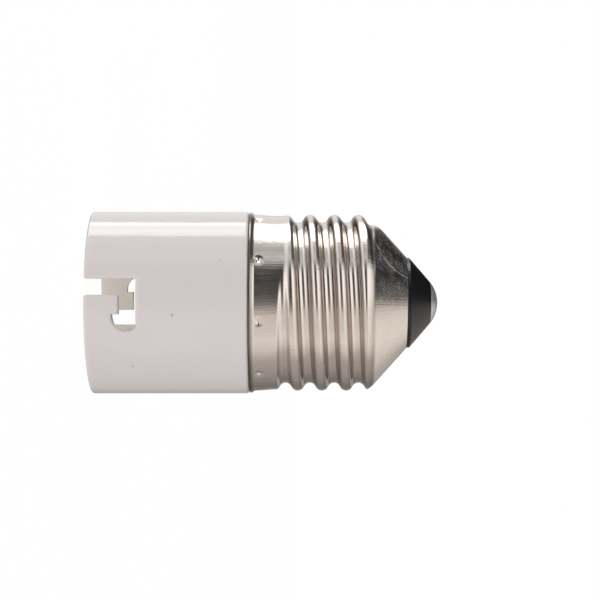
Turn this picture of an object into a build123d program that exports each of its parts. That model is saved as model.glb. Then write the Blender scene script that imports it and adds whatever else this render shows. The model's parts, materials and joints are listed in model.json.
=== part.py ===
from build123d import *
from math import asin, cos, degrees, floor, hypot, radians, sin, sqrt, tan
import os

# Lamp socket adapter: a screw shell that carries a moulded bayonet socket.
# It stands on its open mouth with the tip up. Z is its axis, the mouth's rim is at z = 0,
# and the contacts lie on the X axis. All sizes are in millimetres and degrees.

os.makedirs("parts", exist_ok=True)

# Screw shell
crest_radius = 13.18
thread_depth = 1.18
pitch = 3.629
thread_turns = 3.5
sheet = 0.3
first_root_height = 3.5
entry_start_turn = 0.1
entry_end_turn = 0.5
entry_shift = 0.75
run_out_turns = 0.5
run_out_deepening = 0.6
lift_start_turn = 3.96
lift_turns = 0.18
lift_height = 1.0
thread_start_angle = 168
lip_flare = 0.32
lip_edge = 0.15
lip_height = 0.85
collar_height = 3.9
collar_narrowing = 0.18
collar_land = 1.0
collar_blend = 1.6
cone_start_height = 17.65
cone_angle = 48
cone_end_radius = 6.85
seam_gap = 0.05

# Moulded body
body_overhang = 0.42
body_wall = 2.3
body_length = 23.5
shoulder_round = 0.5
rim_round = 0.35
socket_depth = 13.0
relief_step = 0.3
floor_thickness = 3.0
spigot_length = 3.0
spigot_wall = 2.4
spigot_chamfer = 0.35
spigot_gap = 0.1

# J slots for the lugs of the lamp cap
slot_width = 2.32
slot_depth = 7.45
leg_height = 2.53
seat_step = 0.95
seat_angle = -90
entry_turn = 21.6
mouth_corner_share = 0.85
floor_corner_share = 0.42
slot_edge_round = 0.4

# Staking dents
dent_count = 9
dent_height = 1.45
dent_first_angle = 150
dent_radius = 0.45
dent_depth = 0.28
dimple_radius = 3.0
dimple_depth = 0.12
dent_gap = 0.06

# Tip
insulator_flange = 0.45
insulator_inset = 0.1
insulator_height = 3.15
insulator_gap = 0.1
insulator_grip = 0.7
insulator_body = 2.0
contact_radius = 3.1
contact_dome = 1.08
dome_shoulder_radius = 0.56
dome_shoulder_height = 0.72
shank_radius = 1.4
shank_flare = 0.6
flare_height = 0.4
shank_gap = 0.02

# Contact carrier, cover and screws
barrel_shoulder = 0.5
carrier_gap = 0.15
carrier_chamfer = 0.3
cover_thickness = 1.4
screw_margin = 2.85
screw_radius = 1.1
screw_bite = 2.4
screw_head_radius = 1.95
screw_head_height = 1.25
screw_hole_gap = 0.1
screw_seat_gap = 0.02
cross_width = 0.55
cross_length = 2.2
cross_depth = 0.7

# Sprung contacts
contact_margin = 4.75
plunger_radius = 2.3
plunger_reach = 4.0
plunger_proud_when_home = 0.1
plunger_tip_round = 0.7
plunger_tip_wall = 1.2
plunger_wall = 0.45
plunger_gap = 0.06
flange_width = 0.6
flange_thickness = 0.9
flange_gap = 0.08
guide_end_gap = 0.2
spring_wire = 0.4
spring_pocket_gap = 0.15
spring_turns = 9

# Contact strips
strip_thickness = 0.5
strip_width = 5.8
strip_gap = 0.1
tag_width = 2.4
tag_height = 4.2
tag_offset = 2.35
bend_radius = 0.4

# Leads
core_radius = 0.4
sleeve_wall = 0.4
core_gap = 0.02
tag_joint_length = 2.2
tag_joint_width = 1.9
tag_joint_depth = 1.05
tag_joint_taper = 12
tip_joint_radius = 1.1
tip_joint_height = 0.5
shell_joint_radius = 1.2
shell_joint_angle = 140
joint_above_spigot = 0.9
bend_share = 0.45
wire_start_height = 0.5
bare_length = 2.4
bare_tip = 0.7
lead_swing = 1.2

# Bends of the leads: share of the way across, share of the swing, share of the height
centre_route = [(0, 0, 0.24), (0.34, 1, 0.46), (0.84, 0.67, 0.71), (1, 0, 0.86)]
shell_route = [(0, 0, 0.27), (0.33, 0, 0.42), (0.7, 0, 0.395)]
sleeve_stop = 0.38

# Heights that follow from the sizes above
guide_depth = socket_depth - plunger_reach - guide_end_gap
floor_back = socket_depth + floor_thickness
plunger_tip = socket_depth - plunger_reach
plunger_travel = plunger_reach - plunger_proud_when_home
barrel_end = floor_back + flange_thickness + plunger_travel + guide_end_gap
strip_front = barrel_end + barrel_shoulder
carrier_back = strip_front + strip_thickness
cover_back = carrier_back + cover_thickness
spigot_top = body_length + spigot_length
shell_base = body_length + seam_gap
first_root = shell_base + first_root_height
cone_start = shell_base + cone_start_height
cone_length = (crest_radius - cone_end_radius) / tan(radians(cone_angle))
shell_top = cone_start + cone_length
insulator_top = shell_top + insulator_flange + insulator_height

# Radii that follow from the sizes above
body_radius = crest_radius + body_overhang
bore_radius = body_radius - body_wall
collar_radius = crest_radius - collar_narrowing
spigot_radius = collar_radius - sheet - spigot_gap
rear_radius = spigot_radius - spigot_wall
carrier_radius = rear_radius - carrier_gap
flange_radius = plunger_radius + flange_width
barrel_radius = flange_radius + flange_gap
pocket_radius = plunger_radius - plunger_wall
spring_radius = pocket_radius - spring_pocket_gap - spring_wire / 2
contact_x = carrier_radius - contact_margin
screw_y = carrier_radius - screw_margin
sleeve_radius = core_radius + sleeve_wall
tag_inner_x = contact_x + tag_offset
relief_radius = bore_radius + relief_step
pad_length = tag_inner_x + strip_thickness - contact_x + strip_width / 2
pad_middle = tag_inner_x + strip_thickness - pad_length / 2
tag_slot_length = strip_thickness + bend_radius + 2 * strip_gap
tag_slot_middle = tag_inner_x + strip_thickness + strip_gap - tag_slot_length / 2
dent_balls = [(dimple_radius, dimple_depth), (dent_radius, dent_depth)]


def finish_part(builder, name):
    """Labels a finished piece and writes it to its own file."""
    builder.part.label = name
    export_step(builder.part, f"parts/{name}.step")
    print(name, len(builder.part.solids()), round(builder.part.volume, 3))


def axis_distance(edge):
    """The least distance from the Z axis to an edge's ends and middle."""
    return min(hypot((edge @ share).X, (edge @ share).Y) for share in (0, 0.5, 1))


def axial_plane(angle):
    """A plane through the axis: local X points outwards at the angle, local Y is up."""
    out = radians(angle)
    return Plane(origin=(0, 0, 0), x_dir=(cos(out), sin(out), 0), z_dir=(sin(out), -cos(out), 0))


def outward_plane(angle, distance):
    """A plane whose normal points outwards at the angle: local X is tangential, local Y is up."""
    out = radians(angle)
    origin = (distance * cos(out), distance * sin(out), 0)
    return Plane(origin=origin, x_dir=(-sin(out), cos(out), 0), z_dir=(cos(out), sin(out), 0))


# Thread
# The profile is two arcs for each half pitch that meet on a tangent, as on a rolled screw cap.
profile_radius = ((pitch / 4) ** 2 + (thread_depth / 2) ** 2) / thread_depth
crest_margin = 0.1
crest_blend = 0.1
cone_blend = 1.2
height_steps = 66
sections_per_half = 12


def ease(value, start, end):
    """Rises smoothly from 0 to 1 between start and end."""
    share = min(1, max(0, (value - start) / (end - start)))
    return share * share * (3 - 2 * share)


def soft_min(first, second, width):
    """The smaller of two radii, with the corner between them rounded over a width."""
    overlap = max(0, width - abs(first - second)) / width
    return min(first, second) - overlap * overlap * width / 4


def groove_depth(turn):
    """Depth of the groove: it starts beside the collar, deepens towards the cone and lifts out there."""
    deepening = run_out_deepening * ease(turn, thread_turns, thread_turns + run_out_turns)
    lift = lift_height * ease(turn, lift_start_turn, lift_start_turn + lift_turns)
    return thread_depth * ease(turn, entry_start_turn, entry_end_turn) + deepening - lift


def groove_radius(turn, height, inset):
    """Radius of the groove beside one turn of its helix. A shallow groove is pressed in less."""
    depth = groove_depth(turn)
    shift = entry_shift * (1 - ease(turn, entry_start_turn, entry_end_turn))
    offset = height - first_root - pitch * turn - shift
    if offset > 0:
        # The side towards the cone flattens where the groove runs out
        offset *= 1 - ease(turn, thread_turns, thread_turns + run_out_turns)
    offset = min(pitch / 2, abs(offset))
    root_arc = profile_radius + inset
    crest_arc = profile_radius - inset
    from_crest = pitch / 2 - offset
    if from_crest < pitch / 4 * crest_arc / profile_radius:
        drop = crest_arc - sqrt(crest_arc**2 - from_crest**2)
    else:
        drop = thread_depth - root_arc + sqrt(root_arc**2 - offset**2)
    stretch = max(1, depth / thread_depth)
    return crest_radius - inset - drop * stretch + max(0, thread_depth - depth)


def groove_blend(turn, height):
    """Rounding at the groove's edges: wide on the side of the cone where the groove runs out."""
    if height < first_root + pitch * turn:
        return crest_blend
    share = ease(turn, thread_turns, thread_turns + run_out_turns)
    share *= 1 - ease(turn, lift_start_turn, lift_start_turn + lift_turns)
    return crest_blend + (cone_blend - crest_blend) * share


def outline_radius(height, inset):
    """Radius of the shell without its thread: lip, collar, thread blank and cone."""
    up = height - shell_base
    lean = radians(cone_angle)
    radius = collar_radius - inset
    radius += lip_flare * (1 - ease(up, lip_edge, lip_height))
    radius += collar_narrowing * (1 - ease(up, lip_height, collar_height))
    blank = crest_radius + crest_margin - collar_radius
    radius += blank * ease(up, collar_height + collar_land, collar_height + collar_land + collar_blend)
    cone = crest_radius - (height - cone_start) * tan(lean) - inset / cos(lean)
    return soft_min(radius, cone, cone_blend)


def shell_radius(angle, height, inset):
    """Radius of the shell's outside, or of its inside when inset by the sheet."""
    radius = outline_radius(height, inset)
    share = ((angle - thread_start_angle) / 360) % 1
    below = share + floor((height - first_root) / pitch - share)
    turns = [turn for turn in (below, below + 1) if turn > entry_start_turn]
    if not turns:
        return radius
    groove, turn = min((groove_radius(turn, height, inset), turn) for turn in turns)
    return soft_min(radius, groove, groove_blend(turn, height))


def dent_places(offset):
    """Places round the collar at an offset from its outside, with Z pointing outwards."""
    height = shell_base + dent_height
    distance = outline_radius(height, 0) + offset
    turns = [dent_first_angle + 360 * n / dent_count for n in range(dent_count)]
    return [outward_plane(turn, distance) * Pos(0, height, 0) for turn in turns]


# Screw shell, lofted through sections round the axis in two halves
with BuildPart() as screw_shell:
    steps = [n / height_steps for n in range(height_steps + 1)]
    heights = [shell_base + (shell_top - shell_base) * step for step in steps]
    for half in range(2):
        for n in range(sections_per_half + 1):
            angle = 180 * (half + n / sections_per_half)
            outside = [(shell_radius(angle, h, 0), h) for h in heights]
            inside = [(shell_radius(angle, h, sheet), h) for h in heights]
            with BuildSketch(axial_plane(angle)):
                with BuildLine():
                    add(Edge.make_spline(outside, parameters=steps))
                    add(Edge.make_spline(inside, parameters=steps))
                    Line(outside[0], inside[0])
                    Line(outside[-1], inside[-1])
                make_face()
        loft()
    # The staking dents press the collar into the spigot: a wide dimple round a deep pit
    for ball_radius, depth in dent_balls:
        with Locations(*dent_places(ball_radius - depth)):
            # The bulge inside is a cap of a larger ball that starts in the middle of the sheet
            reach = (ball_radius - depth + sheet / 2) / (ball_radius + sheet)
            Sphere(ball_radius + sheet, arc_size2=-degrees(asin(reach)), align=None)
    for ball_radius, depth in dent_balls:
        with Locations(*dent_places(ball_radius - depth)):
            Sphere(ball_radius, mode=Mode.SUBTRACT)
finish_part(screw_shell, "screw_shell")


def cut_slots():
    """The two J slots as one cutter, each drawn flat and cut straight, as a mould's core pulls."""
    inner = bore_radius - slot_width
    outer = body_radius + relief_step
    leg_start = slot_depth - leg_height
    seat_start = leg_start - seat_step
    half_span = body_radius * sin(radians(entry_turn / 2))
    with BuildPart(mode=Mode.PRIVATE) as cutter:
        for side in (0, 180):
            with BuildSketch(outward_plane(seat_angle - entry_turn / 2 + side, inner)) as slot:
                with Locations((-half_span, slot_depth / 2 - relief_step)):
                    Rectangle(slot_width, slot_depth + 2 * relief_step)
                with Locations((0, slot_depth - leg_height / 2)):
                    Rectangle(2 * half_span, leg_height)
                with Locations((half_span, (slot_depth + seat_start) / 2)):
                    Rectangle(slot_width, slot_depth - seat_start)
                end = slot.vertices().group_by(Axis.X)[-1].sort_by(Axis.Y)
                fillet(end[0], mouth_corner_share * slot_width)
                end = slot.vertices().group_by(Axis.X)[-1].sort_by(Axis.Y)
                fillet(end[-1], floor_corner_share * slot_width)
            extrude(amount=outer - inner)
    return cutter.part


def cut_pits():
    """Pits in the spigot, clear of the bulges that the staking dents push inwards."""
    with BuildPart(mode=Mode.PRIVATE) as pits:
        for ball_radius, depth in dent_balls:
            with Locations(*dent_places(ball_radius - depth)):
                Sphere(ball_radius + sheet + dent_gap)
        with BuildSketch(Plane.XY.offset(body_length)):
            Circle(body_radius)
        extrude(amount=spigot_length, mode=Mode.INTERSECT)
    return pits.part


# Socket body
with BuildPart() as socket_body:
    with BuildSketch(Plane.XZ):
        with BuildLine():
            Polyline(
                (bore_radius, 0),
                (body_radius, 0),
                (body_radius, body_length),
                (spigot_radius, body_length),
                (spigot_radius, spigot_top),
                (rear_radius, spigot_top),
                (rear_radius, floor_back),
                (0, floor_back),
                (0, socket_depth),
                (relief_radius, socket_depth),
                (relief_radius, guide_depth),
                (bore_radius, guide_depth),
                close=True,
            )
        body_outline = make_face()
        corners = body_outline.vertices()
        chamfer(corners.sort_by_distance((spigot_radius, spigot_top))[0], spigot_chamfer)
    revolve(axis=Axis.Z)
    add(cut_slots(), mode=Mode.SUBTRACT)
    # The slots' edges are rounded where they meet the outside
    slot_edges = [
        edge for edge in socket_body.edges()
        if axis_distance(edge) > body_radius - 0.01 and 0.01 < edge.center().Z < slot_depth + 0.01
    ]
    fillet(slot_edges, slot_edge_round)
    round_edges = socket_body.edges().filter_by(GeomType.CIRCLE)
    fillet(round_edges.sort_by_distance((body_radius, 0, body_length))[0], shoulder_round)
    rim_edges = socket_body.edges().group_by(Axis.Z)[0]
    outer_rim = body_radius - slot_edge_round - 0.01
    fillet([edge for edge in rim_edges if axis_distance(edge) > outer_rim], rim_round)
    # Guide holes for the two plungers and pilot holes for the two carrier screws
    with BuildSketch(Plane.XY.offset(socket_depth)):
        with Locations((-contact_x, 0), (contact_x, 0)):
            Circle(plunger_radius + plunger_gap)
    extrude(amount=floor_thickness, mode=Mode.SUBTRACT)
    with BuildSketch(Plane.XY.offset(floor_back)):
        with Locations((0, -screw_y), (0, screw_y)):
            Circle(screw_radius + screw_seat_gap)
    extrude(amount=-screw_bite - guide_end_gap, mode=Mode.SUBTRACT)
    add(cut_pits(), mode=Mode.SUBTRACT)
finish_part(socket_body, "socket_body")


# Tip insulator, snapped into the end of the cone
with BuildPart() as tip_insulator:
    lean = radians(cone_angle)
    neck_radius = cone_end_radius - sheet / cos(lean) - insulator_gap
    flange_top = shell_top + insulator_flange
    grip_low = shell_top - insulator_grip
    grip_radius = neck_radius + insulator_grip * tan(lean)
    insulator_back = grip_low - insulator_body
    shank_end = insulator_back + flare_height
    with BuildSketch(Plane.XZ):
        with BuildLine():
            Polyline(
                (shank_radius + shank_gap, insulator_top),
                (contact_radius, insulator_top),
                (cone_end_radius - insulator_inset, flange_top),
                (cone_end_radius - insulator_inset, shell_top),
                (neck_radius, shell_top),
                (grip_radius, grip_low),
                (grip_radius, insulator_back),
                (shank_radius + shank_flare + insulator_gap, insulator_back),
                (shank_radius + shank_flare + insulator_gap, shank_end),
                (shank_radius + shank_gap, shank_end),
                close=True,
            )
        make_face()
    revolve(axis=Axis.Z)
finish_part(tip_insulator, "tip_insulator")


# Centre contact: a domed rivet with a hollow shank, flared behind the insulator
with BuildPart() as centre_contact:
    wire_hole = core_radius + core_gap
    with BuildSketch(Plane.XZ):
        with BuildLine():
            ThreePointArc(
                (0, insulator_top + contact_dome),
                (contact_radius * dome_shoulder_radius, insulator_top + contact_dome * dome_shoulder_height),
                (contact_radius, insulator_top),
            )
            Polyline(
                (contact_radius, insulator_top),
                (shank_radius, insulator_top),
                (shank_radius, shank_end),
                (shank_radius + shank_flare, shank_end),
                (shank_radius + shank_flare, insulator_back),
                (wire_hole, insulator_back),
                (wire_hole, insulator_top),
                (0, insulator_top),
                (0, insulator_top + contact_dome),
            )
        make_face()
    revolve(axis=Axis.Z)
finish_part(centre_contact, "centre_contact")


# Contact carrier with two stepped barrels, recesses for the strips and screw holes
with BuildPart() as contact_carrier:
    with BuildSketch(Plane.XY.offset(floor_back)):
        Circle(carrier_radius)
    extrude(amount=carrier_back - floor_back)
    chamfer(contact_carrier.edges().group_by(Axis.Z)[0], carrier_chamfer)
    with BuildSketch(Plane.XY.offset(floor_back)):
        with Locations((-contact_x, 0), (contact_x, 0)):
            Circle(barrel_radius)
    extrude(amount=barrel_end - floor_back, mode=Mode.SUBTRACT)
    with BuildSketch(Plane.XY.offset(floor_back)):
        with Locations((-contact_x, 0), (contact_x, 0)):
            Circle(pocket_radius)
        with Locations((0, -screw_y), (0, screw_y)):
            Circle(screw_radius + screw_hole_gap)
    extrude(amount=carrier_back - floor_back, mode=Mode.SUBTRACT)
    with BuildSketch(Plane.XY.offset(strip_front)):
        for side in (-1, 1):
            with Locations((side * pad_middle, 0)):
                Rectangle(pad_length + 2 * strip_gap, strip_width + 2 * strip_gap)
    extrude(amount=strip_thickness, mode=Mode.SUBTRACT)
finish_part(contact_carrier, "contact_carrier")


# Cover that clamps the strips, with slots for their tags
with BuildPart() as carrier_cover:
    with BuildSketch(Plane.XY.offset(carrier_back)):
        Circle(carrier_radius)
        with Locations((0, -screw_y), (0, screw_y)):
            Circle(screw_radius + screw_hole_gap, mode=Mode.SUBTRACT)
        for side in (-1, 1):
            with Locations((side * tag_slot_middle, 0)):
                Rectangle(tag_slot_length, tag_width + 2 * strip_gap, mode=Mode.SUBTRACT)
    extrude(amount=cover_thickness)
finish_part(carrier_cover, "carrier_cover")


# Contact strips: a flat pad under the cover with a solder tag bent up through it
for side, name in ((-1, "contact_strip_left"), (1, "contact_strip_right")):
    with BuildPart() as contact_strip:
        with BuildSketch(Plane.XY.offset(strip_front)):
            with Locations((side * pad_middle, 0)):
                Rectangle(pad_length, strip_width)
        extrude(amount=strip_thickness)
        with BuildSketch(Plane.YZ.offset(side * (tag_inner_x + strip_thickness))):
            with Locations((0, strip_front + (strip_thickness + tag_height) / 2)):
                Rectangle(tag_width, strip_thickness + tag_height)
        extrude(amount=-side * strip_thickness)
        bend = contact_strip.edges().filter_by(Axis.Y).sort_by_distance((side * tag_inner_x, 0, carrier_back))
        fillet(bend[0], bend_radius)
        tag_corners = contact_strip.edges().filter_by(Axis.X).group_by(Axis.Z)[-1]
        fillet(tag_corners, bend_radius)
    finish_part(contact_strip, name)


# Carrier screws: pan heads with a cross recess
for side, name in ((-1, "carrier_screw_front"), (1, "carrier_screw_back")):
    with BuildPart() as carrier_screw:
        with BuildSketch(Plane.XY.offset(floor_back - screw_bite)):
            with Locations((0, side * screw_y)):
                Circle(screw_radius)
        extrude(amount=cover_back - floor_back + screw_bite)
        with BuildSketch(Plane.XY.offset(cover_back)):
            with Locations((0, side * screw_y)):
                Circle(screw_head_radius)
        extrude(amount=screw_head_height)
        chamfer(carrier_screw.edges().group_by(Axis.Z)[0], screw_radius / 3)
        fillet(carrier_screw.edges().group_by(Axis.Z)[-1], screw_head_height / 2)
        with BuildSketch(Plane.XY.offset(cover_back + screw_head_height)):
            with Locations((0, side * screw_y)):
                Rectangle(cross_length, cross_width)
                Rectangle(cross_width, cross_length)
        extrude(amount=-cross_depth, mode=Mode.SUBTRACT)
    finish_part(carrier_screw, name)


# Plungers: hollow brass caps with a flange behind the floor, and a coil spring in each
for side, hand in ((-1, "left"), (1, "right")):
    with BuildPart() as plunger:
        with BuildSketch(Plane.XY.offset(plunger_tip)):
            with Locations((side * contact_x, 0)):
                Circle(plunger_radius)
        extrude(amount=floor_back + flange_thickness - plunger_tip)
        with BuildSketch(Plane.XY.offset(floor_back)):
            with Locations((side * contact_x, 0)):
                Circle(flange_radius)
        extrude(amount=flange_thickness)
        fillet(plunger.edges().group_by(Axis.Z)[0], plunger_tip_round)
        with BuildSketch(Plane.XY.offset(plunger_tip + plunger_tip_wall)):
            with Locations((side * contact_x, 0)):
                Circle(pocket_radius)
        extrude(amount=floor_back + flange_thickness - plunger_tip - plunger_tip_wall, mode=Mode.SUBTRACT)
    finish_part(plunger, f"plunger_{hand}")

    coil_base = plunger_tip + plunger_tip_wall + spring_wire / 2 + core_gap
    coil_height = strip_front - coil_base - spring_wire / 2 - core_gap
    with BuildPart() as spring:
        with BuildLine():
            coil = Helix(
                pitch=coil_height / spring_turns,
                height=coil_height,
                radius=spring_radius,
                center=(side * contact_x, 0, coil_base),
            )
        with BuildSketch(Plane(origin=coil @ 0, z_dir=coil % 0)):
            Circle(spring_wire / 2)
        sweep(is_frenet=True)
    finish_part(spring, f"spring_{hand}")


def bend_radii(points):
    """Bend radii that let each arc take up nearly half of the shorter run beside it."""
    runs = [after - before for before, after in zip(points, points[1:])]
    radii = []
    for before, after in zip(runs, runs[1:]):
        turn = radians(before.get_angle(after))
        radii.append(bend_share * min(before.length, after.length) / tan(turn / 2))
    print("bend radii", [round(radius, 1) for radius in radii])
    return radii


def make_lead(points, radii, outer, inner):
    """Sweeps a wire, or a sleeve when it has an inner radius, along runs joined by arcs."""
    with BuildPart(mode=Mode.PRIVATE) as lead:
        with BuildLine():
            route = FilletPolyline(*points, radius=radii)
        with BuildSketch(Plane(origin=route @ 0, z_dir=route % 0)):
            Circle(outer)
            if inner:
                Circle(inner, mode=Mode.SUBTRACT)
        sweep()
    return lead.part


# Leads from the strips' tags: one to the centre contact, one to the shell
lead_x = tag_inner_x - core_radius - core_gap
wire_start = cover_back + wire_start_height
joint_height = spigot_top + joint_above_spigot
shell_wall = collar_radius - sheet
wire_end = shell_wall - core_radius - core_gap
joint_x = wire_end * cos(radians(shell_joint_angle))
joint_y = wire_end * sin(radians(shell_joint_angle))
route_height = insulator_back - cover_back
centre_end = Vector(0, 0, insulator_top - core_gap)
centre_sleeve_end = Vector(0, 0, insulator_back - bare_tip)
shell_end = Vector(joint_x, joint_y, joint_height)
centre_bends = [
    Vector(lead_x * (1 - across), lead_swing * swing, cover_back + route_height * up)
    for across, swing, up in centre_route
]
shell_bends = [
    Vector(-lead_x + (joint_x + lead_x) * across, joint_y * across, cover_back + route_height * up)
    for across, _, up in shell_route
]
shell_sleeve_end = shell_bends[-1] + (shell_end - shell_bends[-1]) * sleeve_stop
leads = [
    ("centre", lead_x, centre_bends, centre_end, centre_sleeve_end),
    ("shell", -lead_x, shell_bends, shell_end, shell_sleeve_end),
]
cores = {}
for name, start_x, bends, core_end, sleeve_end in leads:
    sleeve_points = [Vector(start_x, 0, wire_start + bare_length), *bends, sleeve_end]
    core_points = [Vector(start_x, 0, wire_start), *bends, core_end]
    radii = bend_radii(sleeve_points)
    cores[name] = make_lead(core_points, radii, core_radius, 0)
    with BuildPart() as lead_core:
        add(cores[name])
    finish_part(lead_core, f"{name}_lead_core")
    with BuildPart() as lead_sleeve:
        add(make_lead(sleeve_points, radii, sleeve_radius, core_radius + core_gap))
    finish_part(lead_sleeve, f"{name}_lead_sleeve")


# Solder on the tags: a rounded blob that holds the wire against the tag's inner face
for side, hand, core in ((-1, "left", "shell"), (1, "right", "centre")):
    with BuildPart() as tag_solder:
        with BuildSketch(Plane.YZ.offset(side * tag_inner_x)):
            with Locations((0, cover_back + tag_joint_length / 2 + guide_end_gap)):
                RectangleRounded(tag_joint_width, tag_joint_length, tag_joint_width / 3)
        extrude(amount=-side * tag_joint_depth, taper=tag_joint_taper)
        inner_face = tag_solder.faces().sort_by(Axis.X)[0 if side > 0 else -1]
        fillet(inner_face.edges(), tag_joint_depth / 4)
        add(cores[core], mode=Mode.SUBTRACT)
    finish_part(tag_solder, f"tag_solder_{hand}")


# Solder round the wire where it enters the centre contact
with BuildPart() as tip_solder:
    with BuildSketch(Plane.XZ):
        with BuildLine():
            Polyline(
                (core_radius, insulator_back),
                (tip_joint_radius, insulator_back),
                (core_radius + tip_joint_height / 3, insulator_back - tip_joint_height),
                (core_radius, insulator_back - tip_joint_height),
                close=True,
            )
        make_face()
    revolve(axis=Axis.Z)
finish_part(tip_solder, "tip_solder")


# Solder that holds the other wire on the shell's inside, just above the spigot
with BuildPart() as shell_solder:
    blob_x = shell_wall * cos(radians(shell_joint_angle))
    blob_y = shell_wall * sin(radians(shell_joint_angle))
    with Locations((blob_x, blob_y, joint_height)):
        Sphere(shell_joint_radius)
    with BuildSketch(Plane.XY.offset(spigot_top + core_gap)):
        Circle(shell_wall - core_gap)
    extrude(amount=3 * shell_joint_radius, mode=Mode.INTERSECT)
    add(cores["shell"], mode=Mode.SUBTRACT)
finish_part(shell_solder, "shell_solder")
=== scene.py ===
import json
from math import cos, floor, pi, radians, sin, sqrt, tan

import bpy
from mathutils import Matrix, Vector


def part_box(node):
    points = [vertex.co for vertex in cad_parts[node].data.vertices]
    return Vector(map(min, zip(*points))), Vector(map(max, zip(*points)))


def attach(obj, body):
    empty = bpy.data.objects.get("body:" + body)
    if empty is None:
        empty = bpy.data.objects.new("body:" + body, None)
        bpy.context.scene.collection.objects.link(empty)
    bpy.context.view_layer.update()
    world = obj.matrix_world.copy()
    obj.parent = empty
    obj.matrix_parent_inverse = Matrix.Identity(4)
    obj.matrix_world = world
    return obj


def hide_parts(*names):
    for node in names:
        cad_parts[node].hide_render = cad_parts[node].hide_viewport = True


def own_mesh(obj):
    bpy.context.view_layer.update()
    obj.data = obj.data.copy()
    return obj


# Looks of the lamp socket adapter: camera, materials, a fine mesh for the shell, springs, light and floor

MM = 0.001
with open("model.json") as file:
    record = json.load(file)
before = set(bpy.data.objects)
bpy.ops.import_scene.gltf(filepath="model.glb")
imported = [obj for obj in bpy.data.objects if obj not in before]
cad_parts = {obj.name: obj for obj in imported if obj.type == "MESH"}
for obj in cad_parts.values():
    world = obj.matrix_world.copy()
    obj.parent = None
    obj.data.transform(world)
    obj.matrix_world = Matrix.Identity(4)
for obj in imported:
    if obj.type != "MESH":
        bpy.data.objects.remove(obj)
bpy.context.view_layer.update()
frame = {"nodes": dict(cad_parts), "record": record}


# Camera, turned on its side because the adapter stands on its mouth and the photograph shows it lying
VIEW_TURN = radians(-102)
CAMERA_DISTANCE = 278 * MM
CAMERA_HEIGHT = 31.0 * MM
CAMERA_RISE = 0.4 * MM
CLIP_START = 10 * MM
PIXELS_PER_METRE = 6660
FRAME_PIXELS = 600
SENSOR_MM = 36

toward_camera = Vector((cos(VIEW_TURN), sin(VIEW_TURN), 0))
photo_right = Vector((0, 0, 1))
photo_up = toward_camera.cross(photo_right)


def add_object(name, data):
    """A new object in the scene."""
    added = bpy.data.objects.new(name, data)
    bpy.context.scene.collection.objects.link(added)
    return added


def add_camera():
    """A long lens that looks straight at the adapter's side, with photo-right along +Z."""
    data = bpy.data.cameras.new("camera")
    data.sensor_fit = "HORIZONTAL"
    data.sensor_width = SENSOR_MM
    data.lens = PIXELS_PER_METRE * CAMERA_DISTANCE / FRAME_PIXELS * SENSOR_MM
    data.clip_start = CLIP_START
    camera = add_object("camera", data)
    place = toward_camera * CAMERA_DISTANCE + photo_up * CAMERA_RISE + photo_right * CAMERA_HEIGHT
    turn = Matrix((photo_right, photo_up, toward_camera)).transposed()
    camera.matrix_world = Matrix.Translation(place) @ turn.to_4x4()
    bpy.context.scene.camera = camera


add_camera()


# Sizes of the screw shell, as in the solid, in millimetres and degrees; heights count from its lip
SHELL_LOW, SHELL_HIGH = (corner[2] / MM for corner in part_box("screw_shell"))
SHELL_LENGTH = SHELL_HIGH - SHELL_LOW
SHEET = 0.3

# Thread, with turns counted from its start beside the collar
PITCH = 3.629
CREST_RADIUS = 13.18
THREAD_DEPTH = 1.18
THREAD_TURNS = 3.5
THREAD_START_ANGLE = 168
FIRST_ROOT_HEIGHT = 3.5
ENTRY_START_TURN = 0.1
ENTRY_END_TURN = 0.5
ENTRY_SHIFT = 0.75
RUN_OUT_TURNS = 0.5
RUN_OUT_DEEPENING = 0.6
LIFT_START_TURN = 3.96
LIFT_TURNS = 0.18
LIFT_HEIGHT = 1.0
CREST_MARGIN = 0.1
CREST_BLEND = 0.1
PROFILE_RADIUS = ((PITCH / 4) ** 2 + (THREAD_DEPTH / 2) ** 2) / THREAD_DEPTH

# Lip, collar and cone
LIP_FLARE = 0.32
LIP_EDGE = 0.15
LIP_HEIGHT = 0.85
COLLAR_HEIGHT = 3.9
COLLAR_NARROWING = 0.18
COLLAR_LAND = 1.0
COLLAR_BLEND = 1.6
CONE_ANGLE = 48
CONE_START_HEIGHT = 17.65
CONE_BLEND = 1.2

# Staking dents, each pressed in by a wide ball and a narrow one of these radii and depths
DENT_COUNT = 9
DENT_HEIGHT = 1.45
DENT_FIRST_ANGLE = 150
DENT_BALLS = ((3.0, 0.12), (0.45, 0.28))

# Mesh of the shell: points in a ring, and distances between the rings outside, at the dents and inside
RING_POINTS = 520
OUTER_STEP = 0.165
DENT_BAND = 2.3
DENT_STEP = 0.1
INNER_STEP = 0.7


# Helpers for node materials
def link_value(tree, value, socket):
    """Sets a socket from a number, a colour or another socket."""
    if isinstance(value, bpy.types.NodeSocket):
        tree.links.new(value, socket)
    else:
        socket.default_value = value


def math_node(tree, operation, first, second=0.0, third=0.0, clamp=False):
    """A Math node whose inputs are numbers or sockets."""
    node = tree.nodes.new("ShaderNodeMath")
    node.operation = operation
    node.use_clamp = clamp
    for value, socket in zip((first, second, third), node.inputs):
        link_value(tree, value, socket)
    return node.outputs[0]


def product(tree, first, *others):
    """The product of numbers and sockets."""
    for other in others:
        first = math_node(tree, "MULTIPLY", first, other)
    return first


def hypotenuse(tree, first, second):
    """The length of a line, from its lengths along two axes."""
    squares = math_node(tree, "ADD", product(tree, first, first), product(tree, second, second))
    return math_node(tree, "SQRT", squares)


def vector_measure(tree, operation, vector, fixed):
    """The number that a Vector Math node gives for a socket and a fixed vector."""
    node = tree.nodes.new("ShaderNodeVectorMath")
    node.operation = operation
    tree.links.new(vector, node.inputs[0])
    node.inputs[1].default_value = fixed
    return node.outputs["Value"]


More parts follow.
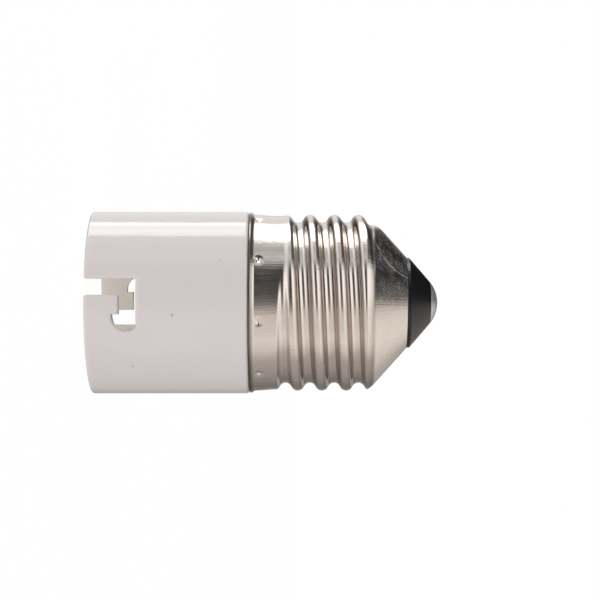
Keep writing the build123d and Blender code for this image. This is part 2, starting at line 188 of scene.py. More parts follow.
def along(tree, vector, direction):
    """How far a vector reaches along a direction."""
    return vector_measure(tree, "DOT_PRODUCT", vector, direction)


def split_axes(tree, vector):
    """The x, y and z of a vector."""
    node = tree.nodes.new("ShaderNodeSeparateXYZ")
    tree.links.new(vector, node.inputs[0])
    return node.outputs


def ramp(tree, factor, stops):
    """A colour ramp; each stop is a place from 0 to 1, and a grey level or a colour."""
    node = tree.nodes.new("ShaderNodeValToRGB")
    elements = node.color_ramp.elements
    while len(elements) < len(stops):
        elements.new(0.5)
    for element, (place, shade) in zip(elements, stops):
        element.position = place
        colour = shade if isinstance(shade, tuple) else (shade, shade, shade)
        element.color = (*colour, 1)
    link_value(tree, factor, node.inputs["Fac"])
    return node.outputs["Color"]


def length_ramp(tree, length, span, stops):
    """A colour ramp whose stops lie at lengths from 0 to a span, in millimetres."""
    return ramp(tree, product(tree, length, 1 / span), [(place / span, shade) for place, shade in stops])


def noise(tree, vector, scale, detail=3.0, roughness=0.5, distortion=0.0):
    """A noise texture's level, from 0 to 1."""
    node = tree.nodes.new("ShaderNodeTexNoise")
    tree.links.new(vector, node.inputs["Vector"])
    node.inputs["Scale"].default_value = scale
    node.inputs["Detail"].default_value = detail
    node.inputs["Roughness"].default_value = roughness
    node.inputs["Distortion"].default_value = distortion
    return node.outputs["Fac"]


def mix_colour(tree, factor, first, second, blend="MIX"):
    """A colour mix."""
    node = tree.nodes.new("ShaderNodeMix")
    node.data_type = "RGBA"
    node.blend_type = blend
    link_value(tree, factor, node.inputs["Factor"])
    for value, socket in ((first, node.inputs["A"]), (second, node.inputs["B"])):
        if isinstance(value, tuple):
            value = (*value, 1)
        link_value(tree, value, socket)
    return node.outputs["Result"]


def mix_shaders(tree, factor, first, second):
    """One shader mixed into another."""
    node = tree.nodes.new("ShaderNodeMixShader")
    for value, socket in zip((factor, first, second), node.inputs):
        tree.links.new(value, socket)
    return node.outputs[0]


def bump(tree, height, strength, distance, normal=None):
    """A bump node, with its distance in millimetres."""
    node = tree.nodes.new("ShaderNodeBump")
    node.inputs["Strength"].default_value = strength
    node.inputs["Distance"].default_value = distance * MM
    tree.links.new(height, node.inputs["Height"])
    if normal:
        tree.links.new(normal, node.inputs["Normal"])
    return node.outputs["Normal"]


def object_place(tree):
    """The place on the object in millimetres."""
    coords = tree.nodes.new("ShaderNodeTexCoord")
    scale = tree.nodes.new("ShaderNodeVectorMath")
    scale.operation = "SCALE"
    tree.links.new(coords.outputs["Object"], scale.inputs[0])
    scale.inputs["Scale"].default_value = 1 / MM
    return scale.outputs[0]


def start_material(name):
    """A new node material with its principled shader."""
    material = bpy.data.materials.new(name)
    material.use_nodes = True
    tree = material.node_tree
    return material, tree, tree.nodes["Principled BSDF"]


def streaks(tree, axes, scale_round, scale_along):
    """Noise drawn out along Z, by its scales round and along the axis."""
    turn = math_node(tree, "ARCTAN2", axes[1], axes[0])
    node = tree.nodes.new("ShaderNodeCombineXYZ")
    parts = (
        product(tree, math_node(tree, "COSINE", turn), scale_round),
        product(tree, math_node(tree, "SINE", turn), scale_round),
        product(tree, axes[2], scale_along),
    )
    for part, socket in zip(parts, node.inputs):
        tree.links.new(part, socket)
    return noise(tree, node.outputs[0], scale=1.0, detail=4.0, roughness=0.6)


def speck(tree, place, radius, height, rise, size):
    """A small dark mark on the front of a surface of this radius. It lies at a height along the axis
    and at a rise above it in the photograph."""
    forward = sqrt(radius**2 - rise**2)
    centre = photo_right * height + photo_up * rise + toward_camera * forward
    distance = math_node(tree, "DIVIDE", vector_measure(tree, "DISTANCE", place, centre), size)
    return ramp(tree, distance, [(0.5, 0.55), (1.0, 0.0)])


# Moulded body, in millimetres: where its inside ends, which is painted lighter and warmer as painted light
# through the thin wall, and specks by height, rise and size
BODY_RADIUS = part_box("socket_body")[1][0] / MM
INSIDE_SPAN = 20
INSIDE_STOPS = ((11.6, 1.0), (12.0, 0.0))
BODY_SPECKS = ((12.7, -1.73, 0.28), (6.8, -9.2, 0.24), (19.5, 6.1, 0.16))

MOULDED_DARK = (0.76, 0.715, 0.705)
MOULDED_LIGHT = (0.79, 0.745, 0.735)
INSIDE_PAINTED_LIGHT = (0.90, 0.865, 0.82)
SPECK_BROWN = (0.38, 0.34, 0.31)


def white_plastic():
    """Glossy moulded plastic, a little translucent, with faint waviness and fine scuffs, and painted light
    on its inside.
    """
    material, tree, shader = start_material("white_plastic")
    place = object_place(tree)
    axes = split_axes(tree, place)
    colour = mix_colour(tree, noise(tree, place, scale=0.12, detail=2.0), MOULDED_DARK, MOULDED_LIGHT)
    # Painted light: the inside is painted lighter and warmer, for light that comes through the thin wall
    inside = length_ramp(tree, hypotenuse(tree, axes[0], axes[1]), INSIDE_SPAN, INSIDE_STOPS)
    colour = mix_colour(tree, inside, colour, INSIDE_PAINTED_LIGHT)
    for mark in BODY_SPECKS:
        colour = mix_colour(tree, speck(tree, place, BODY_RADIUS, *mark), colour, SPECK_BROWN)
    tree.links.new(colour, shader.inputs["Base Color"])
    scuffs = noise(tree, place, scale=2.2, detail=6.0, roughness=0.7)
    tree.links.new(ramp(tree, scuffs, [(0.35, 0.05), (0.75, 0.12)]), shader.inputs["Roughness"])
    shader.inputs["IOR"].default_value = 1.5
    shader.inputs["Subsurface Weight"].default_value = 0.25
    shader.inputs["Subsurface Radius"].default_value = (1.0, 0.8, 0.6)
    shader.inputs["Subsurface Scale"].default_value = 1.2 * MM
    wavy = bump(tree, noise(tree, place, scale=0.35, detail=2.0), strength=0.25, distance=0.1)
    grained = bump(tree, noise(tree, place, scale=6.0), strength=0.06, distance=0.05, normal=wavy)
    tree.links.new(grained, shader.inputs["Normal"])
    return material


# Wear and painted shade of the shell, in millimetres: a rise is above the axis, and a stop is a length and
# its level
SEAM_HEIGHT = 23.4
SEAM_STOPS = ((0.30, 0.9), (0.46, 0.62), (0.85, 0.0))
THREAD_SPECK = (32.8, -4.2, 0.24)
THREAD_SPECK_RADIUS = 12.6
HEIGHT_SPAN = 50
THREAD_STOPS = ((29.25, 0.0), (30.5, 1.0), (40.0, 1.0), (40.75, 0.0))
CONE_STOPS = ((41.75, 0.0), (42.5, 1.0))
RUB_HEIGHT = 44.2
RUB_RISE = 1.7
RUB_FORWARD = 9.8
RUB_SPAN = 2.5
RUB_STOPS = ((0.875, 0.9), (2.25, 0.0))
SCRATCH_HEIGHT = 50.85
SCRATCH_RISE = 12.15
SCRATCH_RADIUS = 9.47
SCRATCH_WAVER = 0.5
SCRATCH_WIDTH = 0.14

# How much rubbing, the scratch and the drawing lines dull the metal
RUB_DULLING = 0.42
SCRATCH_DULLING = 0.5
DRAWING_DULLING = 0.09

NICKEL_DARK = (0.66, 0.615, 0.575)
NICKEL_LIGHT = (0.80, 0.765, 0.73)
SEAM_SHADE = (0.10, 0.075, 0.06)
SPECK_BLACK = (0.05, 0.04, 0.03)
FLANK_SHADE = (0.46, 0.395, 0.345)


def thread_flanks(tree, axes):
    """1 on the flanks of the thread, midway between its roots and crests, and 0 elsewhere."""
    angle = math_node(tree, "ARCTAN2", axes[1], axes[0])
    phase = math_node(tree, "MULTIPLY_ADD", axes[2], 1 / PITCH, -(SHELL_LOW + FIRST_ROOT_HEIGHT) / PITCH)
    phase = math_node(tree, "MULTIPLY_ADD", angle, -1 / (2 * pi), phase)
    phase = math_node(tree, "FRACT", math_node(tree, "ADD", phase, THREAD_START_ANGLE / 360))
    flanks = ramp(tree, phase, [
        (0.12, 0.0), (0.22, 1.0), (0.30, 1.0), (0.40, 0.0),
        (0.60, 0.0), (0.70, 1.0), (0.78, 1.0), (0.88, 0.0),
    ])
    return product(tree, flanks, length_ramp(tree, axes[2], HEIGHT_SPAN, THREAD_STOPS))


def rubbed_grain(tree, place):
    """Grain in cloudy patches, and in one patch on the front of the cone."""
    patches = ramp(tree, noise(tree, place, scale=0.38), [(0.42, 0.0), (0.56, 1.0)])
    centre = photo_right * RUB_HEIGHT + photo_up * RUB_RISE + toward_camera * RUB_FORWARD
    rubbed = length_ramp(tree, vector_measure(tree, "DISTANCE", place, centre), RUB_SPAN, RUB_STOPS)
    grains = ramp(tree, noise(tree, place, scale=4.5, detail=4.0, roughness=0.7), [(0.46, 0.0), (0.66, 1.0)])
    return product(tree, math_node(tree, "MAXIMUM", patches, rubbed), grains)


def curved_scratch(tree, place, axes):
    """A thin wavering arc on the front."""
    height = math_node(tree, "SUBTRACT", axes[2], SCRATCH_HEIGHT)
    rise = math_node(tree, "SUBTRACT", along(tree, place, photo_up), SCRATCH_RISE)
    off_arc = math_node(tree, "SUBTRACT", hypotenuse(tree, height, rise), SCRATCH_RADIUS)
    off_arc = math_node(tree, "SUBTRACT", math_node(tree, "ABSOLUTE", off_arc), SCRATCH_WAVER / 2)
    waver = math_node(tree, "MULTIPLY_ADD", noise(tree, place, scale=1.3), SCRATCH_WAVER, off_arc)
    scratch = ramp(tree, math_node(tree, "ABSOLUTE", waver), [(0.0, 1.0), (SCRATCH_WIDTH, 0.0)])
    return product(tree, scratch, math_node(tree, "GREATER_THAN", along(tree, place, toward_camera), 0.0))


def nickel():
    """Plated sheet: bright, with lengthwise drawing marks, smudges and fine scratches, and painted shade in
    the seam and on the thread's flanks.
    """
    material, tree, shader = start_material("nickel")
    place = object_place(tree)
    axes = split_axes(tree, place)
    cloud = noise(tree, place, scale=0.35, detail=5.0, roughness=0.6)
    lines = streaks(tree, axes, scale_round=60, scale_along=0.12)
    # Painted shade in the seam beside the moulded body, a mark on the thread, and painted shade on the
    # thread's flanks
    colour = mix_colour(tree, cloud, NICKEL_DARK, NICKEL_LIGHT)
    seam = ramp(tree, math_node(tree, "SUBTRACT", axes[2], SEAM_HEIGHT), SEAM_STOPS)
    colour = mix_colour(tree, seam, colour, SEAM_SHADE)
    colour = mix_colour(tree, speck(tree, place, THREAD_SPECK_RADIUS, *THREAD_SPECK), colour, SPECK_BLACK)
    # Painted shade: the thread's flanks are painted a darker, mottled brown
    mottled = math_node(tree, "MULTIPLY_ADD", cloud, 0.8, 0.35, clamp=True)
    colour = mix_colour(tree, product(tree, thread_flanks(tree, axes), mottled), colour, FLANK_SHADE)
    tree.links.new(colour, shader.inputs["Base Color"])
    # Scuffs scatter light: rubbed grain and a scratch on the cone, and faint drawing lines everywhere
    on_cone = length_ramp(tree, axes[2], HEIGHT_SPAN, CONE_STOPS)
    rubbed = product(tree, rubbed_grain(tree, place), on_cone, RUB_DULLING)
    scratch = product(tree, curved_scratch(tree, place, axes), on_cone, SCRATCH_DULLING)
    drawing = ramp(tree, streaks(tree, axes, scale_round=45, scale_along=0.25), [(0.50, 0.0), (0.75, 1.0)])
    drawing = product(tree, drawing, DRAWING_DULLING)
    dull = math_node(tree, "MAXIMUM", math_node(tree, "MAXIMUM", rubbed, scratch), drawing)
    tree.links.new(math_node(tree, "SUBTRACT", 1.0, dull), shader.inputs["Metallic"])
    smudge = math_node(tree, "ADD", product(tree, cloud, 0.6), product(tree, lines, 0.4))
    tree.links.new(ramp(tree, smudge, [(0.3, 0.05), (0.7, 0.19)]), shader.inputs["Roughness"])
    drawn = bump(tree, lines, strength=0.22, distance=0.08)
    fine = streaks(tree, axes, scale_round=140, scale_along=0.3)
    tree.links.new(bump(tree, fine, strength=0.12, distance=0.04, normal=drawn), shader.inputs["Normal"])
    return material


INSULATOR_BLACK = (0.008, 0.008, 0.009)
INSULATOR_DUST = (0.09, 0.09, 0.095)


def black_plastic():
    """Glossy black moulded plastic with light dust."""
    material, tree, shader = start_material("black_plastic")
    dust = noise(tree, object_place(tree), scale=5.0, detail=6.0, roughness=0.75)
    dusty = ramp(tree, dust, [(0.62, 0.0), (0.80, 1.0)])
    tree.links.new(mix_colour(tree, dusty, INSULATOR_BLACK, INSULATOR_DUST), shader.inputs["Base Color"])
    tree.links.new(ramp(tree, dust, [(0.3, 0.16), (0.8, 0.42)]), shader.inputs["Roughness"])
    shader.inputs["Specular IOR Level"].default_value = 0.42
    tree.links.new(bump(tree, dust, strength=0.12, distance=0.06), shader.inputs["Normal"])
    return material


def rubbed_metal(name, dark, light, rough_low, rough_high, scale, metallic):
    """Bare metal with a mottled tone, wear and shallow marks; a film of tarnish makes it less metallic."""
    material, tree, shader = start_material(name)
    place = object_place(tree)
    cloud = noise(tree, place, scale, detail=6.0, roughness=0.65, distortion=0.4)
    tree.links.new(mix_colour(tree, cloud, dark, light), shader.inputs["Base Color"])
    tree.links.new(ramp(tree, cloud, [(0.3, rough_low), (0.7, rough_high)]), shader.inputs["Roughness"])
    shader.inputs["Metallic"].default_value = metallic
    marks = noise(tree, place, scale * 4, detail=4.0, roughness=0.6)
    tree.links.new(bump(tree, marks, strength=0.25, distance=0.08), shader.inputs["Normal"])
    return material


def soft_plastic(name, dark, light, rough_low, rough_high):
    """Matt plastic or wire insulation with a faint grain."""
    material, tree, shader = start_material(name)
    place = object_place(tree)
    cloud = noise(tree, place, scale=0.8, detail=4.0)
    tree.links.new(mix_colour(tree, cloud, dark, light), shader.inputs["Base Color"])
    tree.links.new(ramp(tree, cloud, [(0.3, rough_low), (0.8, rough_high)]), shader.inputs["Roughness"])
    grained = bump(tree, noise(tree, place, scale=8.0), strength=0.15, distance=0.05)
    tree.links.new(grained, shader.inputs["Normal"])
    return material


# Metals: dark and light tone, lowest and highest roughness, scale of the mottling, and how metallic
METALS = {
    "contact_metal": ((0.50, 0.50, 0.50), (0.88, 0.88, 0.87), 0.16, 0.42, 1.4, 0.70),
    "brass": ((0.62, 0.42, 0.16), (0.80, 0.60, 0.30), 0.24, 0.42, 0.9, 0.65),
    "screw_steel": ((0.45, 0.45, 0.46), (0.66, 0.66, 0.66), 0.22, 0.40, 1.2, 1.0),
    "spring_steel": ((0.40, 0.40, 0.42), (0.58, 0.58, 0.60), 0.20, 0.35, 2.0, 1.0),
    "copper": ((0.62, 0.32, 0.20), (0.82, 0.52, 0.36), 0.20, 0.35, 1.6, 1.0),
    "solder": ((0.38, 0.38, 0.38), (0.62, 0.62, 0.62), 0.25, 0.45, 1.8, 1.0),
}

# Soft plastics: dark and light tone, and lowest and highest roughness
SOFT_PLASTICS = {
    "carrier_plastic": ((0.58, 0.55, 0.50), (0.66, 0.63, 0.58), 0.40, 0.55),
    "lead_sleeve": ((0.42, 0.03, 0.02), (0.52, 0.05, 0.03), 0.38, 0.53),
}

finishes = {"white_plastic": white_plastic(), "nickel": nickel(), "black_plastic": black_plastic()}
for name, values in METALS.items():
    finishes[name] = rubbed_metal(name, *values)
for name, values in SOFT_PLASTICS.items():
    finishes[name] = soft_plastic(name, *values)

for entry in frame["record"]["subparts"]:
    node = frame["nodes"][entry["node"]]
    node.data.materials.clear()
    node.data.materials.append(finishes[entry["material_slot"]])


# Helpers for the drawn pieces
def ring_faces(rings, corners, closed=False):
    """Quads from each ring of points to the next one, and from the last to the first if closed."""
    faces = []
    for ring in range(rings if closed else rings - 1):
        start = ring * corners
        after = (ring + 1) % rings * corners
        for corner in range(corners):
            right = (corner + 1) % corners
            faces.append((start + corner, start + right, after + right, after + corner))
    return faces


def add_mesh(name, points, faces, material):
    """A new smooth mesh object."""
    mesh = bpy.data.meshes.new(name)
    mesh.from_pydata(points, [], faces)
    mesh.shade_smooth()
    mesh.materials.append(material)
    return add_object(name, mesh)


# Screw shell: the same surface as the solid's, drawn as a fine mesh
def ease(value, start, end):
    """From 0 at the start to 1 at the end, level at both."""
    share = min(1, max(0, (value - start) / (end - start)))
    return share * share * (3 - 2 * share)


def soft_min(first, second, width):
    """The lesser of two values, with a rounded change over this width."""
    overlap = max(0, width - abs(first - second)) / width
    return min(first, second) - overlap * overlap * width / 4


def groove_depth(turn):
    """Depth of the groove after so many turns: it fades in, deepens at its run-out and lifts out."""
    depth = THREAD_DEPTH * ease(turn, ENTRY_START_TURN, ENTRY_END_TURN)
    depth += RUN_OUT_DEEPENING * ease(turn, THREAD_TURNS, THREAD_TURNS + RUN_OUT_TURNS)
    return depth - LIFT_HEIGHT * ease(turn, LIFT_START_TURN, LIFT_START_TURN + LIFT_TURNS)


def groove_blend(turn, up):
    """How widely the groove blends into the blank: more on the cone's side of the run-out."""
    if up < FIRST_ROOT_HEIGHT + PITCH * turn:
        return CREST_BLEND
    share = ease(turn, THREAD_TURNS, THREAD_TURNS + RUN_OUT_TURNS)
    share *= 1 - ease(turn, LIFT_START_TURN, LIFT_START_TURN + LIFT_TURNS)
    return CREST_BLEND + (CONE_BLEND - CREST_BLEND) * share


def groove_radius(turn, up, inset):
    """Radius of the surface in the groove, whose roots and crests are arcs. An inset of the sheet's
    thickness gives the inside."""
    depth = groove_depth(turn)
    shift = ENTRY_SHIFT * (1 - ease(turn, ENTRY_START_TURN, ENTRY_END_TURN))
    offset = up - FIRST_ROOT_HEIGHT - PITCH * turn - shift
    if offset > 0:
        # The side towards the cone flattens where the groove runs out
        offset *= 1 - ease(turn, THREAD_TURNS, THREAD_TURNS + RUN_OUT_TURNS)
    offset = min(PITCH / 2, abs(offset))
    root_arc = PROFILE_RADIUS + inset
    crest_arc = PROFILE_RADIUS - inset
    from_crest = PITCH / 2 - offset
    if from_crest < PITCH / 4 * crest_arc / PROFILE_RADIUS:
        drop = crest_arc - sqrt(crest_arc**2 - from_crest**2)
    else:
        drop = THREAD_DEPTH - root_arc + sqrt(root_arc**2 - offset**2)
    return CREST_RADIUS - inset - drop * max(1, depth / THREAD_DEPTH) + max(0, THREAD_DEPTH - depth)


def outline_radius(up, inset):
    """Radius of the blank without its thread: lip, collar, the threaded stretch and the cone."""
    collar = CREST_RADIUS - COLLAR_NARROWING
    radius = collar - inset
    radius += LIP_FLARE * (1 - ease(up, LIP_EDGE, LIP_HEIGHT))
    radius += COLLAR_NARROWING * (1 - ease(up, LIP_HEIGHT, COLLAR_HEIGHT))
    blank = CREST_RADIUS + CREST_MARGIN - collar
    radius += blank * ease(up, COLLAR_HEIGHT + COLLAR_LAND, COLLAR_HEIGHT + COLLAR_LAND + COLLAR_BLEND)
    lean = radians(CONE_ANGLE)
    cone = CREST_RADIUS - (up - CONE_START_HEIGHT) * tan(lean) - inset / cos(lean)
    return soft_min(radius, cone, CONE_BLEND)


def dent_drop(angle, up, inset):
    """How far a staking dent presses the surface in."""
    spacing = 360 / DENT_COUNT
    turn = (angle - DENT_FIRST_ANGLE + spacing / 2) % spacing - spacing / 2
    across = CREST_RADIUS * radians(turn)
    distance = across * across + (up - DENT_HEIGHT) ** 2
    drop = 0
    for radius, depth in DENT_BALLS:
        wide = (radius + inset) ** 2 - distance
        if wide > 0:
            drop = max(drop, sqrt(wide) - (radius - depth) - inset)
    return drop


def shell_radius(angle, up, inset):
    """Radius of the finished surface at an angle and a height."""
    radius = outline_radius(up, inset)
    share = ((angle - THREAD_START_ANGLE) / 360) % 1
    below = share + floor((up - FIRST_ROOT_HEIGHT) / PITCH - share)
    turns = [turn for turn in (below, below + 1) if turn > ENTRY_START_TURN]
    if turns:
        groove, turn = min((groove_radius(turn, up, inset), turn) for turn in turns)
        radius = soft_min(radius, groove, groove_blend(turn, up))
    return radius - dent_drop(angle, up, inset)


def spaced(start, end, step):
    """Evenly spaced heights from start to end, about a step apart."""
    count = round((end - start) / step)
    return [start + (end - start) * number / count for number in range(count + 1)]


def shell_ring(up, inset):
    """Points round the surface at one height."""
    points = []
    for step in range(RING_POINTS):
        radius = shell_radius(360 * step / RING_POINTS, up, inset)
        turn = 2 * pi * step / RING_POINTS
        points.append((radius * cos(turn) * MM, radius * sin(turn) * MM, (SHELL_LOW + up) * MM))
    return points


def make_shell():
    """Rings up the outside and down the inside, which meet at the lip and at the cone's end."""
    outer = spaced(0, DENT_BAND, DENT_STEP) + spaced(DENT_BAND, SHELL_LENGTH, OUTER_STEP)[1:]
    inner = spaced(0, SHELL_LENGTH, INNER_STEP)[::-1]
    rings = [shell_ring(up, 0) for up in outer] + [shell_ring(up, SHEET) for up in inner]
    points = [point for ring in rings for point in ring]
    faces = ring_faces(len(rings), RING_POINTS, closed=True)
    shell = add_mesh("shell_skin", points, faces, finishes["nickel"])
    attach(shell, "adapter")
    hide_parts("screw_shell")


make_shell()


# Springs: the solids' coils again, in millimetres, as pieces with meshes of their own
SPRING_RADIUS = 1.5
SPRING_WIRE = 0.4
SPRING_TURNS = 9
SPRING_STEPS = 252
WIRE_SIDES = 10


def make_spring(hand):
    """A coil from its back end at the contact strip to its front end at the plunger, as in the solid spring.
    """
    low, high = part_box(f"spring_{hand}")
    middle = (Vector(low) + Vector(high)) / 2
    wire_radius = SPRING_WIRE / 2 * MM
    start = low[2] + wire_radius
    rise = high[2] - wire_radius - start
    slope = rise / (2 * pi * SPRING_TURNS * SPRING_RADIUS * MM)
    points = []
    for step in range(SPRING_STEPS + 1):
        turn = 2 * pi * SPRING_TURNS * step / SPRING_STEPS
        out = Vector((cos(turn), sin(turn), 0))
        side = Vector((-sin(turn), cos(turn), slope)).normalized().cross(out)
        centre = Vector((middle.x, middle.y, start + rise * step / SPRING_STEPS))
        centre += out * SPRING_RADIUS * MM
        for corner in range(WIRE_SIDES):
            lean = 2 * pi * corner / WIRE_SIDES
            points.append(centre + (out * cos(lean) + side * sin(lean)) * wire_radius)
    ends = [tuple(reversed(range(WIRE_SIDES))), tuple(range(len(points) - WIRE_SIDES, len(points)))]
    faces = ends + ring_faces(SPRING_STEPS + 1, WIRE_SIDES)
    spring = add_mesh(f"spring_coil_{hand}", points, faces, finishes["spring_steel"])
    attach(spring, "adapter")
    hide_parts(f"spring_{hand}")
    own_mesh(spring)


make_spring("left")
make_spring("right")


# Light: glossy rays see a studio that is laid out round the adapter's axis
SOFTBOX_LEVEL = 4.4
STRIP_LEVEL = 1.3
GLINT_LEVEL = 1.08
NEARLY_ZERO = 0.001

WARM = (1.0, 0.915, 0.86)
NEARLY_WHITE = (1.0, 0.98, 0.96)
BACK_TINT = (1.0, 0.95, 0.91)
TIP_BACK = (0.38, 0.36, 0.34)


def turn_ramp(tree, share, stops):
    """A colour ramp whose stops lie at turns round the axis in degrees: 0 is towards the camera, and
    90 is up in the photograph."""
    return ramp(tree, share, [(0.5 + degrees / 360, shade) for degrees, shade in stops])


def raise_to(tree, factor, colour, level):
    """Makes a colour at least this light where the factor is 1."""
    lit = mix_colour(tree, 1.0, colour, (level, level, level), "LIGHTEN")
    return mix_colour(tree, factor, colour, lit)


def mirror_lean(tree, direction):
    """How a mirror leans that shows the camera what lies in this direction. The share is twice its turn
    round the axis, from 0 to 1 for -180 to 180 degrees. The tilt is the sine of its lean along the axis,
    and the last value is 1 where it leans towards the tip."""
    height = split_axes(tree, direction)[2]
    ahead = math_node(tree, "ADD", along(tree, direction, toward_camera), 1.0)
    ahead = math_node(tree, "MAXIMUM", ahead, NEARLY_ZERO)
    half_turn = math_node(tree, "ARCTAN2", along(tree, direction, photo_up), ahead)
    share = math_node(tree, "MULTIPLY_ADD", half_turn, 1 / pi, 0.5)
    reach = math_node(tree, "SQRT", product(tree, ahead, 2.0))
    tilt = math_node(tree, "DIVIDE", math_node(tree, "ABSOLUTE", height), reach)
    return share, tilt, math_node(tree, "GREATER_THAN", height, 0.0)


def room_bands(tree, share, tilt):
    """Bands round the axis, with a soft box overhead whose edges are its brightest parts."""
    bands = turn_ramp(tree, share, [
        (-178, 0.55), (-158, 0.24), (-140, 0.21), (-125, 0.31), (-110, 0.38), (-80, 0.50), (-62, 0.82),
        (-50, 0.94), (-38, 0.82), (-18, 0.80), (-10, 0.46), (0, 0.17), (10, 0.09), (25, 0.075), (43, 0.055),
        (52, 0.30), (59, 0.72), (64, 0.95), (66, 0.42), (70, 0.55), (73, 0.50), (88, 0.84), (158, 0.93),
        (178, 0.55),
    ])
    softbox = turn_ramp(tree, share, [
        (91, 0.0), (92.5, 0.28), (94, 0.9), (97, 0.9), (103, 1.0), (107, 0.68), (112, 0.62), (116, 1.0),
        (120.5, 1.0), (122.5, 0.0),
    ])
    ends = ramp(tree, tilt, [(0.22, 1.0), (0.46, 0.0)])
    return mix_colour(tree, 1.0, bands, product(tree, softbox, ends, SOFTBOX_LEVEL), "ADD")


def bright_strips(tree, bands, share, tilt, tip_side):
    """Bright strips beside the camera: one above the axis, and a glint on the tip's side below it."""
    upper = turn_ramp(tree, share, [
        (-22, 0.0), (-6, 0.8), (4, 1.0), (46, 1.0), (55, 0.3), (64, 0.3), (74, 0.8), (82, 1.0), (98, 0.2),
        (140, 0.0),
    ])
    beside = ramp(tree, tilt, [(0.10, 0.0), (0.24, 1.0)])
    bands = raise_to(tree, product(tree, upper, beside), bands, STRIP_LEVEL)
    lower = turn_ramp(tree, share, [(-80, 0.0), (-50, 0.7), (-20, 1.0), (-4, 1.0), (6, 0.0)])
    glint = ramp(tree, tilt, [(0.14, 0.0), (0.26, 1.0), (0.50, 1.0), (0.62, 0.0)])
    return raise_to(tree, product(tree, lower, glint, tip_side), bands, GLINT_LEVEL)


def dark_ends(tree, bands, share, tilt, tip_side):
    """Steep flanks see the room's dark ends. High up, what leans to the tip is dark at once, as the
    cone is."""
    above = turn_ramp(tree, share, [(-22, 0.0), (-6, 0.8), (4, 1.0), (130, 1.0), (165, 0.3), (178, 0.0)])
    flank_mouth = ramp(tree, tilt, [(0.32, 1.0), (0.50, 0.45), (0.66, 0.03)])
    flank_tip = ramp(tree, tilt, [(0.42, 1.0), (0.60, 0.7), (0.70, 0.03)])
    flank_below = ramp(tree, tilt, [(0.40, 1.0), (0.65, 0.78), (0.86, 0.42)])
    flank = mix_colour(tree, above, flank_below, mix_colour(tree, tip_side, flank_mouth, flank_tip))
    bands = mix_colour(tree, 1.0, bands, flank, "MULTIPLY")
    high = turn_ramp(tree, share, [(48, 0.0), (62, 1.0), (140, 1.0), (165, 0.0)])
    shade = ramp(tree, tilt, [(0.12, 1.0), (0.34, 0.12)])
    shaded = mix_colour(tree, 1.0, bands, shade, "MULTIPLY")
    return mix_colour(tree, product(tree, high, tip_side), bands, shaded)


def studio_colour(tree, direction):
    """What glossy rays see."""
    share, tilt, tip_side = mirror_lean(tree, direction)
    bands = room_bands(tree, share, tilt)
    bands = bright_strips(tree, bands, share, tilt, tip_side)
    bands = dark_ends(tree, bands, share, tilt, tip_side)
    warmth = turn_ramp(tree, share, [
        (-178, BACK_TINT), (-150, WARM), (-14, WARM), (30, NEARLY_WHITE), (150, NEARLY_WHITE),
        (178, BACK_TINT),
    ])
    bands = mix_colour(tree, 1.0, bands, warmth, "MULTIPLY")
    # The cone leans towards the tip's end of the room: dark above the axis and warm below it
    tip_end = turn_ramp(tree, share, [
        (-178, TIP_BACK), (-140, (0.45, 0.41, 0.38)), (-116, (0.54, 0.50, 0.46)), (-94, (0.80, 0.74, 0.68)),
        (-60, (1.0, 0.93, 0.86)), (-24, (0.90, 0.83, 0.77)), (-9, (0.78, 0.72, 0.66)),
        (-2, (0.31, 0.28, 0.26)), (4, 0.16), (12, 0.10), (25, 0.055), (50, 0.035), (78, 0.02), (140, 0.025),
        (160, 0.3), (178, TIP_BACK),
    ])
    to_tip = ramp(tree, tilt, [(0.65, 0.0), (0.715, 1.0), (0.82, 1.0), (0.90, 0.0)])
    return mix_colour(tree, product(tree, to_tip, tip_side), bands, tip_end)


# Soft fill that other rays see, by height in the photograph
FILL_LOW = (0.27, 0.26, 0.255)
FILL_MIDDLE = (0.55, 0.54, 0.535)
FILL_HIGH = (0.64, 0.635, 0.635)


def background(tree, colour):
    """A background shader."""
    node = tree.nodes.new("ShaderNodeBackground")
    link_value(tree, colour, node.inputs["Color"])
    return node.outputs[0]


def make_world():
    """White to the camera, the studio to glossy rays, and an even soft grey to the rest."""
    world = bpy.data.worlds.new("studio")
    world.use_nodes = True
    tree = world.node_tree
    tree.nodes.clear()
    direction = tree.nodes.new("ShaderNodeTexCoord").outputs["Generated"]
    rays = tree.nodes.new("ShaderNodeLightPath").outputs
    height = math_node(tree, "MULTIPLY_ADD", along(tree, direction, photo_up), 0.5, 0.5)
    fill = background(tree, ramp(tree, height, [(0.1, FILL_LOW), (0.45, FILL_MIDDLE), (0.95, FILL_HIGH)]))
    studio = background(tree, studio_colour(tree, direction))
    white = background(tree, (1, 1, 1, 1))
    straight = math_node(tree, "MAXIMUM", rays["Is Camera Ray"], rays["Is Transmission Ray"])
    soft = mix_shaders(tree, rays["Is Glossy Ray"], fill, studio)
    output = tree.nodes.new("ShaderNodeOutputWorld")
    tree.links.new(mix_shaders(tree, straight, soft, white), output.inputs["Surface"])
    bpy.context.scene.world = world


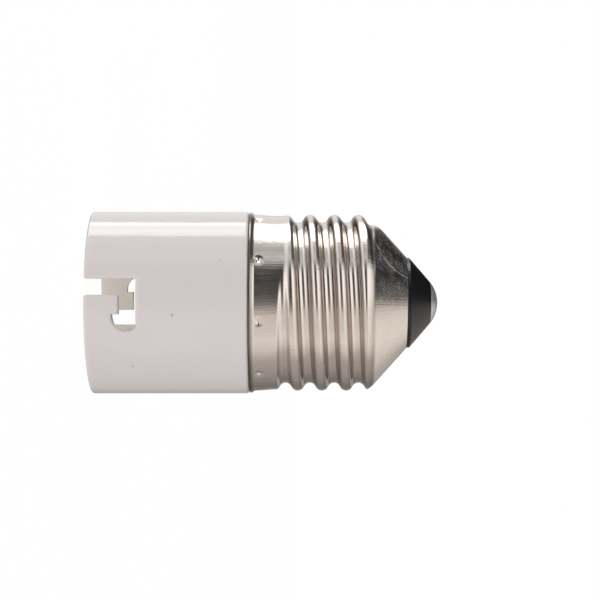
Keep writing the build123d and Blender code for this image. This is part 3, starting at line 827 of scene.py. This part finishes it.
def add_lamp(name, elevation, distance, width, length, power, colour=(1, 1, 1)):
    """An area lamp at an angle up from the camera in the photograph, aimed where the camera looks.
    Glossy rays don't see it, because they see the studio instead."""
    data = bpy.data.lights.new(name, "AREA")
    data.shape = "RECTANGLE"
    data.size = length
    data.size_y = width
    data.energy = power
    data.color = colour
    lamp = add_object(name, data)
    out = toward_camera * cos(radians(elevation)) + photo_up * sin(radians(elevation))
    turn = Matrix((photo_right, out.cross(photo_right), out)).transposed()
    lamp.matrix_world = Matrix.Translation(out * distance + photo_right * CAMERA_HEIGHT) @ turn.to_4x4()
    lamp.visible_glossy = False


# Floor: half its width in metres, how strongly it glows, and the glow's share for camera and other rays
FLOOR_REACH = 6.0
FLOOR_GREY = (0.86, 0.86, 0.86, 1)
FLOOR_GLOW = 1.035
GLOW_SHARE_CAMERA = 0.93
GLOW_SHARE_OTHERS = 0.68


def floor_material():
    """Matt pale grey with a glow of its own, clear from below."""
    material, tree, shader = start_material("floor")
    shader.inputs["Base Color"].default_value = FLOOR_GREY
    shader.inputs["Roughness"].default_value = 0.9
    shader.inputs["Specular IOR Level"].default_value = 0.0
    seen = tree.nodes.new("ShaderNodeLightPath").outputs["Is Camera Ray"]
    share = math_node(tree, "MULTIPLY_ADD", seen, GLOW_SHARE_CAMERA - GLOW_SHARE_OTHERS, GLOW_SHARE_OTHERS)
    glow = tree.nodes.new("ShaderNodeEmission")
    glow.inputs["Strength"].default_value = FLOOR_GLOW
    top = mix_shaders(tree, share, shader.outputs[0], glow.outputs[0])
    # One-sided, so that the mouth and the contacts in it can be seen from below
    back = tree.nodes.new("ShaderNodeNewGeometry").outputs["Backfacing"]
    clear = tree.nodes.new("ShaderNodeBsdfTransparent").outputs[0]
    tree.links.new(mix_shaders(tree, back, top, clear), tree.nodes["Material Output"].inputs["Surface"])
    return material


def make_floor():
    """A plain floor, white to the camera, that keeps some of the adapter's shadow."""
    corners = [(-1, -1), (1, -1), (1, 1), (-1, 1)]
    points = [(x * FLOOR_REACH, y * FLOOR_REACH, 0) for x, y in corners]
    ground = add_mesh("floor", points, [(0, 1, 2, 3)], floor_material())
    ground.visible_glossy = False


make_world()
make_floor()
add_lamp("softbox", elevation=110, distance=0.6, width=0.36, length=0.9, power=2.0)
add_lamp("front_fill", elevation=-30, distance=1.2, width=0.8, length=0.8, power=5.0, colour=(1, 0.98, 0.97))

bpy.context.scene.view_settings.view_transform = "Standard"
